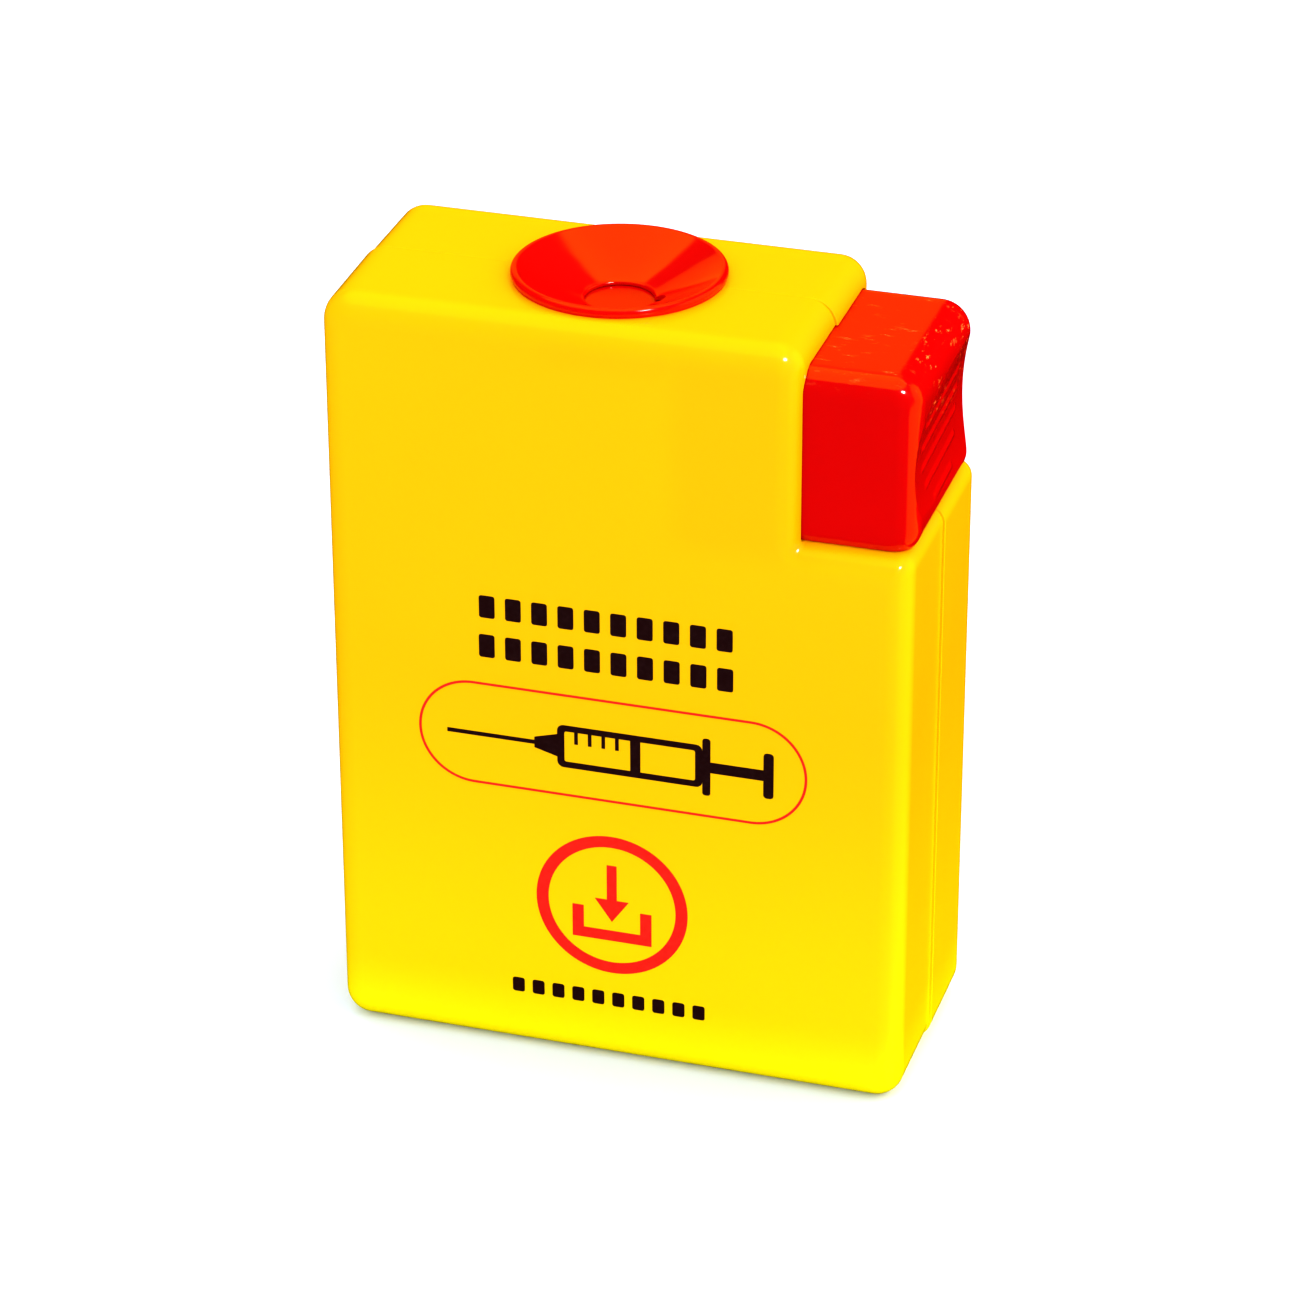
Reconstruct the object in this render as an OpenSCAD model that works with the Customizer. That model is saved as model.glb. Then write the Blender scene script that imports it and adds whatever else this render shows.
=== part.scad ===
// Pocket sharps container: a two-shell box with a dished funnel on top and a sprung
// push button that slides a shutter under the funnel. Millimetres, +Z up, front facing -Y.
// The origin is the middle of the underside.

/* [Case] */
// Width of the case across its front
case_w = 80; // [76:1:90]
// Depth of the case from front to back
case_d = 34.7; // [34:0.1:38]
// Height of the case up to its flat top
case_h = 110; // [108:1:125]
// Wall thickness of both half shells
wall = 1.6; // [1.4:0.1:1.8]
// Radius of the edges around the front and back faces
edge_r = 3.3; // [2.8:0.1:3.6]
// Radius of the case's corners seen from the front
corner_r = 3.9; // [3:0.1:4.4]
// Sideways mismatch of the two half shells at their seam
seam_step = 0.35; // [0:0.05:0.5]
// How far the back shell's lip reaches into the front shell
lip_reach = 3.8; // [2:0.1:5]

/* [Button notch] */
// Width of the corner that the button fills
notch_w = 15; // [14.5:0.5:17]
// Height of the notch, from its ledge to the top of the case
notch_h = 27.6; // [27.2:0.2:28.4]
// Radius of the ledge's outer corner seen from the front
ledge_corner_r = 2.3; // [2:0.1:3.9]

/* [Funnel] */
// Distance of the funnel's axis to the left of the case's middle
inlet_left = 4.4; // [3.5:0.1:5]
// Outer diameter of the rolled rim
rim_d = 28.6; // [27:0.1:29]
// Height of the rim above the top of the case
rim_h = 1.3; // [1.2:0.1:1.8]
// Diameter of the throat
throat_d = 9.2; // [8:0.1:10]
// Diameter of the hub notch at the throat's side
hub_notch_d = 2.2; // [1.6:0.1:2.6]

/* [Slide] */
// How far the button travels into the case
travel = 14; // [13:0.5:14]
// Depth of the button from front to back
button_d = 29.8; // [29:0.1:30]
// Distance from the top of the case down to the button's top
button_drop = 3.6; // [3.4:0.1:3.8]
// Depth of the thumb recess in the button's end
recess_depth = 1; // [0.7:0.1:1.2]
// Number of grip ridges in the thumb recess
ridges = 5; // [3:1:5]
// Distance from one grip ridge to the next
ridge_pitch = 3; // [2.5:0.1:3]

/* [Spring] */
// Wire diameter of the return spring
wire_d = 0.7; // [0.5:0.05:0.8]
// Outer diameter of the return spring
coil_d = 9; // [8.6:0.1:9.6]
// Number of turns
turns = 9; // [7:1:10]

/* [Hidden] */
$fn = 96;
eps = 0.05;

// The case's main planes
case_x = case_w / 2;
half_d = case_d / 2;
inner_y = half_d - wall;
shoulder_x = case_x - notch_w;
ledge_z = case_h - notch_h;

// The opening in the shoulder that the button passes through
window_gap = 0.15;
window_y = button_d / 2 + window_gap;
window_top = case_h - button_drop + window_gap;

// The back shell's lip stands just inside the front shell's wall
lip_gap = 0.1;
lip_t = 0.9;
lip_root = 3;
lip_end_gap = 6;

// Funnel: heights are measured from the top of the case
inlet_x = -inlet_left;
throat_r = throat_d / 2;
rim_r = rim_d / 2;
bead_r = rim_h / 2;
bead_at = rim_r - bead_r;
dish_t = 0.65;
dish_gap = 0.1;
throat_top = dish_gap + dish_t - button_drop;
lip_slope = 29;
dish_r = bead_at - bead_r * sin(lip_slope);
dish_rise = bead_r * (1 + cos(lip_slope)) - throat_top;
dish_power = tan(lip_slope) * (dish_r - throat_r) / dish_rise;
dish_steps = 10;
neck_r = rim_r - 1.8;
neck_step = 0.8;
collar_r = rim_r - 0.2;
collar_top = -wall - 0.15;
collar_t = 0.9;

// Slide: its resting planes
button_x = case_x - 0.1;
button_y = button_d / 2;
button_top = case_h - button_drop;
button_bottom = ledge_z + 0.3;
button_h = 25.45;
button_in = shoulder_x - 17;
button_edge_r = 3.1;
button_corner_r = 4.1;
button_wall = 1.6;
thumb_wall = 2.5;
button_wall_y = button_y - button_wall;
thumb_in = button_x - thumb_wall;
recess_z = button_top - 13.2;
recess_r = 32;
ridge_r = 0.6;
ridge_out = 0.4;
grip_z = recess_z - 0.8;
grip_middle = recess_z + 1.8;
grip_half_y = 10.4;
grip_half_z = 10;
gusset_r = 8;

// Shutter: a plate whose aperture reaches the throat when the button is pressed
plate_t = 1.5;
plate_z = button_top - plate_t;
tongue_end = inlet_x - throat_r - 1;
tongue_y = button_y - 0.3;
plate_y = button_wall_y - 0.3;
plate_end = shoulder_x - 1;
aperture_r = throat_r + 0.8;
lug_gap = 0.1;
lug_t = 1.5;
lug_in_y = 10.4;
lug_h = 1.2;
lug_rise = button_top + lug_h - case_h + corner_r;
lug_end = shoulder_x - corner_r + sqrt(pow(corner_r - wall, 2) - pow(lug_rise, 2)) - lug_gap;
leg_t = 1.2;
leg_w = 4;
leg_x = shoulder_x - 8;
leg_h = 3.9;
barb_h = 1.4;

// Tray: two rails and the cross plate that the spring pushes on
rail_x = -8;
rail_end = shoulder_x - edge_r - 0.1;
rail_in = button_wall_y - 1.6;
rail_out = inner_y - 0.15;
rail_z = ledge_z - wall;
guide_h = 3;
seat_x = 12.2;
seat_t = 2;
seat_top = 98.5;
ear_drop = 3.9;
rib_t = 1.6;
rib_gap = 0.1;
rib_reach = 2.6;
web_drop = 2;

// Spring and the spigots inside its ends
spring_z = 93;
spigot_r = coil_d / 2 - wire_d - 0.5;
spigot_l = 5.4;
boss_l = 4.2;
coil_r = (coil_d - wire_d) / 2;
spring_l = thumb_in - seat_x;
wire_sides = 6;
rings_per_turn = 18;

// A box given by its lowest and highest corners
module box(low, high) {
    translate(low)
        cube(high - low);
}

// The same box on the front and on the back side
module box_pair(low, high) {
    box(low, high);
    mirror([0, 1, 0])
        box(low, high);
}

// A rectangle from (x0, y0) to (x1, y1) with round corners
module rounded_rect(x0, y0, x1, y1, r) {
    translate([x0 + r, y0])
        square([x1 - x0 - 2 * r, y1 - y0]);
    translate([x0, y0 + r])
        square([x1 - x0, y1 - y0 - 2 * r]);
    for (x = [x0 + r, x1 - r], y = [y0 + r, y1 - r])
        translate([x, y])
            circle(r);
}

// A box with round edges: three crossed extrusions, each rounding four of its edges
module rounded_box(x0, x1, y_half, z0, z1, edge, corner) {
    intersection() {
        translate([0, y_half, 0])
            rotate([90, 0, 0])
                linear_extrude(2 * y_half)
                    rounded_rect(x0, z0, x1, z1, corner);
        translate([0, 0, z0])
            linear_extrude(z1 - z0)
                rounded_rect(x0, -y_half, x1, y_half, edge);
        translate([x0, 0, 0])
            rotate([90, 0, 90])
                linear_extrude(x1 - x0)
                    rounded_rect(-y_half, z0, y_half, z1, edge);
    }
}

// The stepped case, set in from its outer surface by the distance given
module case_solid(inset) {
    edge = edge_r - inset;
    corner = corner_r - inset;
    rounded_box(-case_x + inset, case_x - inset, half_d - inset,
                inset, ledge_z - inset, edge, corner);
    rounded_box(-case_x + inset, shoulder_x - inset, half_d - inset,
                inset, case_h - inset, edge, corner);
    rounded_box(0, case_x - inset, half_d - inset,
                ledge_z / 2, ledge_z - inset, edge, ledge_corner_r - inset);
}

// One half of the hollow case: side is -1 for the front and 1 for the back
module half_case(side) {
    intersection() {
        difference() {
            translate([side * seam_step / 2, 0, 0])
                case_solid(0);
            case_solid(wall);
            box([shoulder_x - wall - 1, -window_y, ledge_z],
                [shoulder_x + 2, window_y, window_top]);
            translate([inlet_x, 0, case_h - wall - 1])
                cylinder(h = wall + 2, r = neck_r + 0.1);
        }
        translate([-case_w, side < 0 ? -case_d : 0, -1])
            cube([2 * case_w, case_d, case_h + 2]);
    }
}

// The ribs inside each shell that carry and trap the tray
module tray_ribs(side) {
    root = inner_y + wall / 2;
    shelf_y = inner_y - rib_reach;
    shelf_z = rail_z - rib_t;
    slot_x = [seat_x - seat_t - rib_gap, seat_x + rib_gap];
    mirror([0, side < 0 ? 1 : 0, 0]) {
        for (run = [[rail_x, slot_x[0]], [slot_x[1], shoulder_x - wall + eps]])
            box([run[0], shelf_y, shelf_z], [run[1], root, rail_z - eps]);
        box([rail_x - rib_t, shelf_y, shelf_z], [rail_x - rib_gap, root, ledge_z]);
        for (x = [slot_x[0] - rib_t, slot_x[1]])
            box([x, shelf_y - 1, shelf_z - ear_drop], [x + rib_t, root, shelf_z + eps]);
    }
}

module front_shell() {
    color("gold") {
        half_case(-1);
        tray_ribs(-1);
    }
}

// A straight run of the back shell's lip, with its root against the back shell's wall
module lip_run(low, high, root_low, root_high) {
    box([low[0], -lip_reach, low[1]], [high[0], lip_root, high[1]]);
    box([root_low[0], 0, root_low[1]], [root_high[0], lip_root, root_high[1]]);
}

module seam_lip() {
    side_out = case_x - wall - lip_gap;
    side_in = side_out - lip_t;
    side_root = case_x - wall / 2;
    low_z = wall + lip_gap;
    run_end = case_x - lip_end_gap;
    lip_run([-side_out, lip_end_gap], [-side_in, case_h - lip_end_gap],
            [-side_root, lip_end_gap], [-side_in, case_h - lip_end_gap]);
    lip_run([side_in, lip_end_gap], [side_out, rail_z - lip_end_gap],
            [side_in, lip_end_gap], [side_root, rail_z - lip_end_gap]);
    lip_run([-run_end, low_z], [run_end, low_z + lip_t],
            [-run_end, wall / 2], [run_end, low_z + lip_t]);
}

module back_shell() {
    color("gold") {
        half_case(1);
        tray_ribs(1);
        seam_lip();
    }
}

// Radius and height of the dish's upper surface at step t, from 0 at the throat to 1
function dish_point(t) = [
    throat_r + t * (dish_r - throat_r),
    throat_top + dish_rise * pow(t, dish_power)
];

// The funnel's section: dish, throat, and the neck and collar that hold it in the case
module funnel_section() {
    collar_low = collar_top - collar_t;
    steps = [for (i = [0:dish_steps]) dish_point(i / dish_steps)];
    rim = [[bead_at, bead_r], [bead_at, 0], [neck_r, 0]];
    collar = [[neck_r, collar_top], [collar_r, collar_top], [collar_r, collar_low]];
    neck = [[dish_point(neck_step)[0], collar_low]];
    under = [for (i = [neck_step * dish_steps:-1:0]) dish_point(i / dish_steps) - [0, dish_t]];
    polygon(concat(steps, rim, collar, neck, under));
}

module funnel() {
    color("red")
        translate([inlet_x, 0, case_h])
            difference() {
                union() {
                    rotate_extrude()
                        funnel_section();
                    rotate_extrude()
                        translate([bead_at, bead_r])
                            circle(bead_r);
                }
                translate([throat_r + hub_notch_d / 4, 0, throat_top - 2])
                    cylinder(h = 4, r = hub_notch_d / 2);
            }
}

// Rails with inner guides, joined by the cross plate that carries the spring's spigot
module slide_tray() {
    color("gold") {
        box_pair([rail_x, rail_in, rail_z], [rail_end, rail_out, ledge_z]);
        box_pair([rail_x, rail_in, rail_z], [rail_end, button_wall_y - 0.3, ledge_z + guide_h]);
        box([seat_x - seat_t, -rail_in - eps, rail_z], [seat_x, rail_in + eps, seat_top]);
        box_pair([seat_x - seat_t, rail_in, rail_z - ear_drop], [seat_x, rail_out, rail_z + eps]);
        box([seat_x - seat_t, -rail_in - eps, rail_z - web_drop],
            [seat_x, rail_in + eps, rail_z + eps]);
        translate([seat_x - eps, 0, spring_z])
            rotate([0, 90, 0])
                cylinder(h = spigot_l, r = spigot_r);
    }
}

// One ring of points across the wire; u runs along the coil from 0 to 1
function wire_ring(u) = let (
    a = 360 * turns * u,
    pitch_x = seat_x + wire_d / 2 + u * (spring_l - wire_d)
) [for (i = [0:wire_sides - 1]) let (
    b = 360 * i / wire_sides,
    r = coil_r + wire_d / 2 * cos(b)
) [pitch_x + wire_d / 2 * sin(b), r * cos(a), spring_z + r * sin(a)]];

module return_spring() {
    rings = turns * rings_per_turn;
    points = [for (k = [0:rings]) each wire_ring(k / rings)];
    sides = [for (k = [0:rings - 1], i = [0:wire_sides - 1]) [
        k * wire_sides + i,
        k * wire_sides + (i + 1) % wire_sides,
        (k + 1) * wire_sides + (i + 1) % wire_sides,
        (k + 1) * wire_sides + i
    ]];
    start = [for (i = [wire_sides - 1:-1:0]) i];
    end = [for (i = [0:wire_sides - 1]) rings * wire_sides + i];
    color("silver")
        polyhedron(points = points, faces = concat(sides, [start, end]));
}

// The button's outside: a round-edged block, cut off flat at its inner end and above the ledge
module button_outside() {
    over = 10;
    intersection() {
        rounded_box(button_in - over, button_x, button_y, button_top - button_h, button_top,
                    button_edge_r, button_corner_r);
        box([button_in, -button_y, button_bottom], [button_x, button_y, button_top]);
    }
}

// The grip ridges follow the bottom of the thumb recess, and fill an oval field
module grip_ridges() {
    centre_x = button_x - recess_depth + recess_r;
    for (i = [0:ridges - 1]) {
        z = grip_z + (i - (ridges - 1) / 2) * ridge_pitch;
        x = centre_x - sqrt(pow(recess_r, 2) - pow(z - recess_z, 2)) - ridge_r + ridge_out;
        half = grip_half_y * sqrt(1 - pow((z - grip_middle) / grip_half_z, 2));
        translate([x, half, z])
            rotate([90, 0, 0])
                cylinder(h = 2 * half, r = ridge_r, $fn = 24);
    }
}

module push_button() {
    slot_y = button_y + 1;
    color("red") {
        difference() {
            button_outside();
            rounded_box(button_in - 20, thumb_in, button_wall_y, button_bottom - 20,
                        button_top - button_wall, 1.5, 2.5);
            box([button_in - 1, -button_wall_y, plate_z - 1],
                [plate_end + 0.2, button_wall_y, button_top + 1]);
            translate([button_x - recess_depth + recess_r, button_y + 1, recess_z])
                rotate([90, 0, 0])
                    cylinder(h = 2 * button_y + 2, r = recess_r, $fn = 256);
            box_pair([leg_x - 0.2, plate_y - 1, plate_z - leg_h - 0.2],
                     [leg_x + leg_w + 0.2, slot_y, plate_z - leg_h + barb_h + 0.2]);
        }
        side_gussets();
        box_pair([button_in, button_wall_y - 0.9, plate_z - 1.1],
                 [leg_x - 0.6, button_wall_y + eps, plate_z - eps]);
        grip_ridges();
        translate([thumb_in - boss_l, 0, spring_z])
            rotate([0, 90, 0])
                cylinder(h = boss_l + 0.2, r = spigot_r);
    }
}

// Curved webs that carry the button's side walls out along the underside of the tongue
module side_gussets() {
    low_z = plate_z - gusset_r;
    difference() {
        box_pair([button_in - gusset_r, button_wall_y, low_z],
                 [button_in + eps, button_y - 0.3, plate_z - eps]);
        translate([button_in - gusset_r, case_d, low_z])
            rotate([90, 0, 0])
                cylinder(h = 2 * case_d, r = gusset_r);
    }
}

// The shutter clips between the button's side walls by two barbed legs
module shutter() {
    color("red") {
        difference() {
            union() {
                box([tongue_end, -tongue_y, plate_z], [button_in - 0.1, tongue_y, button_top]);
                box([button_in - 1, -plate_y, plate_z], [plate_end, plate_y, button_top]);
            }
            translate([inlet_x + travel, 0, plate_z - 1])
                cylinder(h = plate_t + 2, r = aperture_r);
        }
        box_pair([lug_end - lug_t, lug_in_y, button_top - eps],
                 [lug_end, plate_y, button_top + lug_h]);
        box_pair([leg_x, plate_y - leg_t, plate_z - leg_h], [leg_x + leg_w, plate_y, plate_z + eps]);
        box_pair([leg_x, plate_y - eps, plate_z - leg_h],
                 [leg_x + leg_w, plate_y + 1, plate_z - leg_h + barb_h]);
        box_pair([tongue_end + 1.8, 7, plate_z - 2], [leg_x, 8.2, plate_z + eps]);
    }
}

front_shell();
back_shell();
funnel();
slide_tray();
return_spring();
push_button();
shutter();
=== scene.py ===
"""Pocket sharps container: yellow half shells, red funnel and push button, and the print."""
import math

import bmesh
import bpy
from mathutils import Matrix, Vector


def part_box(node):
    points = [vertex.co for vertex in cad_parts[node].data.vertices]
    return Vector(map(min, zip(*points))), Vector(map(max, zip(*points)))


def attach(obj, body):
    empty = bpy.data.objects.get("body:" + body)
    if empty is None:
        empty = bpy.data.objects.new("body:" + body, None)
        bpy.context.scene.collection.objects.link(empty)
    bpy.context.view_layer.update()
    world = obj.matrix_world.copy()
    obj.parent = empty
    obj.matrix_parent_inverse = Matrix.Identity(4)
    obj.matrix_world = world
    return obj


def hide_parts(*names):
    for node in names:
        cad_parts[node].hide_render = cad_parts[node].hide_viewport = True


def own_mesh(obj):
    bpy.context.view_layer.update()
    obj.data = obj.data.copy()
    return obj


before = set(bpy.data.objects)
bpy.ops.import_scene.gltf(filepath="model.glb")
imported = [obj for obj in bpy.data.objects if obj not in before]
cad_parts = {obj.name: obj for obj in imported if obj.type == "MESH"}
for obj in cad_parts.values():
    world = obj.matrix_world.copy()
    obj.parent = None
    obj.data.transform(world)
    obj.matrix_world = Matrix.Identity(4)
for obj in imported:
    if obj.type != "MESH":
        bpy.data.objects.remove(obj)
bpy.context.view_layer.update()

MM = 0.001
ARC_STEPS = 12
SMOOTH_ANGLE = math.radians(32)

# ---------------------------------------------------------------- sizes, from the frame, in mm
_, front_high = (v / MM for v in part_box("front_shell"))
back_low, back_high = (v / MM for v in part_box("back_shell"))
funnel_low, funnel_high = (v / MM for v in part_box("funnel"))
button_low, button_high = (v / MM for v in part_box("push_button"))
spring_low, spring_high = (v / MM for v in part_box("return_spring"))
tray_low, _ = (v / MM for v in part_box("slide_tray"))
shutter_low, _ = (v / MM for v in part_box("shutter"))

# The case. Its top left corner is rounder in front, and grows rounder towards the front face.
WALL = 1.6
EDGE_R = 3.3
CORNER_R = 3.8
FRONT_LEFT_R, FRONT_LEFT_GROWTH, BACK_LEFT_R = 3.9, 0.6, 3.75
LEDGE_CORNER_R = 2.3
NOTCH_CORNER_R = 0.5
FRONT_CHAMFER, BACK_CHAMFER = 0.03, 0.1
CASE_TOP = front_high.z
HALF_DEPTH = back_high.y
SEAM_SHIFT = (back_high.x - front_high.x) / 2
CASE_HALF = (back_high.x - back_low.x) / 2
NOTCH_W = 15
SHOULDER = CASE_HALF - NOTCH_W
TRAY_BELOW_WALL = 3.9
LEDGE = tray_low.z + TRAY_BELOW_WALL + WALL
INK_T = 0.03

# The funnel: a rolled rim, a neck through the case's hole, and a collar below the wall
INLET_X = (funnel_low.x + funnel_high.x) / 2
RIM_R = (funnel_high.x - funnel_low.x) / 2
BEAD_R = (funnel_high.z - CASE_TOP) / 2
THROAT_R = 4.6
THROAT_LIP_R = 0.36
HUB_NOTCH_R = 1.1
NECK_R = RIM_R - 1.8
NECK_T = 1.2
COLLAR_R = RIM_R - 0.2
COLLAR_TOP, COLLAR_BOTTOM = -WALL - 0.15, -WALL - 1.05
HOLE_GAP = 0.1

# The button. FOOT_DROP lowers its foot, so that no light shows between it and the ledge.
BUTTON_TOP = button_high.z
BUTTON_BOTTOM = button_low.z
BUTTON_SET_IN = 0.1
BUTTON_END = back_high.x - SEAM_SHIFT - BUTTON_SET_IN
BUTTON_Y = button_high.y
BUTTON_IN = 8
BUTTON_WALL = 1.6
BUTTON_END_WALL = 2.5
PLATE_T, PLATE_GAP = 1.5, 0.8
BUTTON_EDGE_R = 3.1
BUTTON_CORNER_R = 4.1
BUTTON_HEIGHT = 25.45
BUTTON_FOOT = BUTTON_TOP - BUTTON_HEIGHT
FOOT_DROP = 0.22
WINDOW_GAP = 0.15

# The thumb recess: a hollow of radius RECESS_R that leans, deeper behind than in front
RECESS_DEPTH = 1.0
RECESS_R = 32
RECESS_BELOW_TOP = 13.2
RECESS_Z = BUTTON_TOP - RECESS_BELOW_TOP
RECESS_LEAN = 0.025

# The grip ridges, which fill an oval on the recess
RIDGE_COUNT, RIDGE_PITCH, RIDGE_DROP = 5, 3, 0.8
RIDGE_OUT, RIDGE_HALF_W, RIDGE_END = 0.22, 0.75, 0.8
OVAL_HALF_Y, OVAL_HALF_Z, OVAL_RISE = 10.4, 10, 1.8


# ---------------------------------------------------------------- mesh helpers
def make_object(name, bm):
    """A mesh object from a bmesh in mm, in the scene, in metres."""
    bmesh.ops.remove_doubles(bm, verts=bm.verts, dist=1e-4)
    bmesh.ops.recalc_face_normals(bm, faces=bm.faces)
    bmesh.ops.scale(bm, vec=(MM, MM, MM), verts=bm.verts)
    mesh = bpy.data.meshes.new(name)
    bm.to_mesh(mesh)
    bm.free()
    obj = bpy.data.objects.new(name, mesh)
    bpy.context.scene.collection.objects.link(obj)
    return obj


def cut(obj, tool):
    """Cuts the tool object out of obj, and removes the tool."""
    modifier = obj.modifiers.new("cut", "BOOLEAN")
    modifier.object = tool
    modifier.operation = "DIFFERENCE"
    modifier.solver = "EXACT"
    depsgraph = bpy.context.evaluated_depsgraph_get()
    mesh = bpy.data.meshes.new_from_object(obj.evaluated_get(depsgraph))
    obj.modifiers.clear()
    obj.data = mesh
    bpy.data.objects.remove(tool)


def smooth(obj):
    """Smooth shading, with the edges sharper than the limit kept."""
    mesh = obj.data
    mesh.polygons.foreach_set("use_smooth", [True] * len(mesh.polygons))
    mesh.set_sharp_from_angle(angle=SMOOTH_ANGLE)


def add_rings(bm, rings):
    """Joins closed rings of equal length with quads, and returns their vertices."""
    made = [[bm.verts.new(p) for p in ring] for ring in rings]
    count = len(rings[0])
    for a, b in zip(made, made[1:]):
        for i in range(count):
            j = (i + 1) % count
            bm.faces.new((a[i], a[j], b[j], b[i]))
    return made


def add_solid(bm, rings):
    """Joins closed rings with quads, and caps the first and the last."""
    made = add_rings(bm, rings)
    bm.faces.new(made[0])
    bm.faces.new(made[-1])


def box_object(name, low, high):
    """A box from its lowest to its highest corner, in mm."""
    bm = bmesh.new()
    corners = [(x, y, z) for z in (low[2], high[2]) for x, y in (
        (low[0], low[1]), (high[0], low[1]), (high[0], high[1]), (low[0], high[1]))]
    add_solid(bm, [corners[:4], corners[4:]])
    return make_object(name, bm)


def cylinder_object(name, centre, axis, radius, length, steps=128):
    """A cylinder along an axis, from its centre, in mm. No vertex lies on an axis plane."""
    bm = bmesh.new()
    turn = Vector((0, 0, 1)).rotation_difference(Vector(axis)).to_matrix()
    rings = [[Vector(centre) + turn @ Vector((
        radius * math.cos(2 * math.pi * (i + 0.5) / steps),
        radius * math.sin(2 * math.pi * (i + 0.5) / steps), z)) for i in range(steps)]
        for z in (-length / 2, length / 2)]
    add_solid(bm, rings)
    return make_object(name, bm)


def place(obj, body, slot, material, *nodes):
    """Rides the piece on its body, gives it its material, and hides the nodes it stands for; slot
    is not used.
    """
    obj.data.materials.clear()
    obj.data.materials.append(material)
    smooth(obj)
    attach(obj, body)
    if nodes:
        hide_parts(*nodes)
    return obj


# ---------------------------------------------------------------- node helpers
class Nodes:
    """A material's node tree, with short calls for the nodes that these materials use."""

    def __init__(self, name):
        self.material = bpy.data.materials.new(name)
        self.use(self.material, "Principled BSDF", "Object")

    def use(self, owner, shader, coords):
        owner.use_nodes = True
        self.tree = owner.node_tree
        self.shader = self.tree.nodes[shader]
        self.coords = self.tree.nodes.new("ShaderNodeTexCoord").outputs[coords]

    def link(self, value, socket):
        if isinstance(value, bpy.types.NodeSocket):
            self.tree.links.new(value, socket)
        else:
            socket.default_value = value

    def math(self, operation, a, b=0.0, clamp=False):
        node = self.tree.nodes.new("ShaderNodeMath")
        node.operation = operation
        node.use_clamp = clamp
        self.link(a, node.inputs[0])
        self.link(b, node.inputs[1])
        return node.outputs[0]

    def axes(self):
        node = self.tree.nodes.new("ShaderNodeSeparateXYZ")
        self.link(self.coords, node.inputs[0])
        return node.outputs

    def stretched(self, scale):
        node = self.tree.nodes.new("ShaderNodeMapping")
        self.link(self.coords, node.inputs["Vector"])
        node.inputs["Scale"].default_value = scale
        return node.outputs[0]

    def noise(self, scale, detail=2.0, vector=None, rough=0.5):
        node = self.tree.nodes.new("ShaderNodeTexNoise")
        self.link(vector or self.coords, node.inputs["Vector"])
        node.inputs["Scale"].default_value = scale
        node.inputs["Detail"].default_value = detail
        node.inputs["Roughness"].default_value = rough
        return node.outputs["Fac"]

    def fit(self, value, low, high, to_low=0.0, to_high=1.0):
        node = self.tree.nodes.new("ShaderNodeMapRange")
        node.interpolation_type = "SMOOTHSTEP"
        self.link(value, node.inputs["Value"])
        node.inputs["From Min"].default_value = low
        node.inputs["From Max"].default_value = high
        node.inputs["To Min"].default_value = to_low
        node.inputs["To Max"].default_value = to_high
        return node.outputs["Result"]

    def mix(self, factor, a, b):
        node = self.tree.nodes.new("ShaderNodeMix")
        node.data_type = "RGBA"
        self.link(factor, node.inputs["Factor"])
        self.link(a, node.inputs["A"])
        self.link(b, node.inputs["B"])
        return node.outputs["Result"]

    def bump(self, height, strength, distance, normal=None):
        node = self.tree.nodes.new("ShaderNodeBump")
        self.link(height, node.inputs["Height"])
        node.inputs["Strength"].default_value = strength
        node.inputs["Distance"].default_value = distance
        if normal:
            self.link(normal, node.inputs["Normal"])
        return node.outputs["Normal"]

    def set(self, **values):
        for name, value in values.items():
            self.link(value, self.shader.inputs[name.replace("_", " ")])


class WorldNodes(Nodes):
    """The world's node tree, with the same calls."""

    def __init__(self):
        world = bpy.data.worlds.new("studio")
        self.use(world, "Background", "Generated")
        world.cycles.sampling_method = "NONE"
        bpy.context.scene.world = world

    def panel(self, toward, start, full):
        """1 round a direction, from the cosine where it is full to 0 where it starts."""
        node = self.tree.nodes.new("ShaderNodeVectorMath")
        node.operation = "DOT_PRODUCT"
        self.link(self.coords, node.inputs[0])
        node.inputs[1].default_value = Vector(toward).normalized()
        return self.fit(node.outputs["Value"], start, full)

    def glossy_ray(self):
        return self.tree.nodes.new("ShaderNodeLightPath").outputs["Is Glossy Ray"]


def rgb(red, green, blue):
    return (red, green, blue, 1.0)


# ---------------------------------------------------------------- materials
def band(n, value, low, high, soft):
    """1 where value lies between low and high, with soft edges."""
    rise = n.fit(value, low - soft, low + soft)
    fall = n.fit(value, high - soft, high + soft, 1.0, 0.0)
    return n.math("MULTIPLY", rise, fall)


CASE_YELLOW, CASE_CLOUD = rgb(0.95, 0.505, 0.0), rgb(0.95, 0.52, 0.0)
# Painted light: paler yellows towards the floor, standing in for light bounced up from it
CASE_PAINTED_BOUNCE, CASE_PAINTED_FOOT_GLOW = rgb(0.97, 0.65, 0.0), rgb(1.0, 0.84, 0.0)
# Painted shade: a darker yellow where the slide lies behind the wall
CASE_PAINTED_SLIDE_SHADE = rgb(0.95, 0.465, 0.0)
# Heights of the painted light from the floor: the wide paler zone, and the thin band at the foot
PAINTED_BOUNCE_HEIGHT, PAINTED_FOOT_GLOW_HEIGHT = 0.06, 0.012


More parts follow.
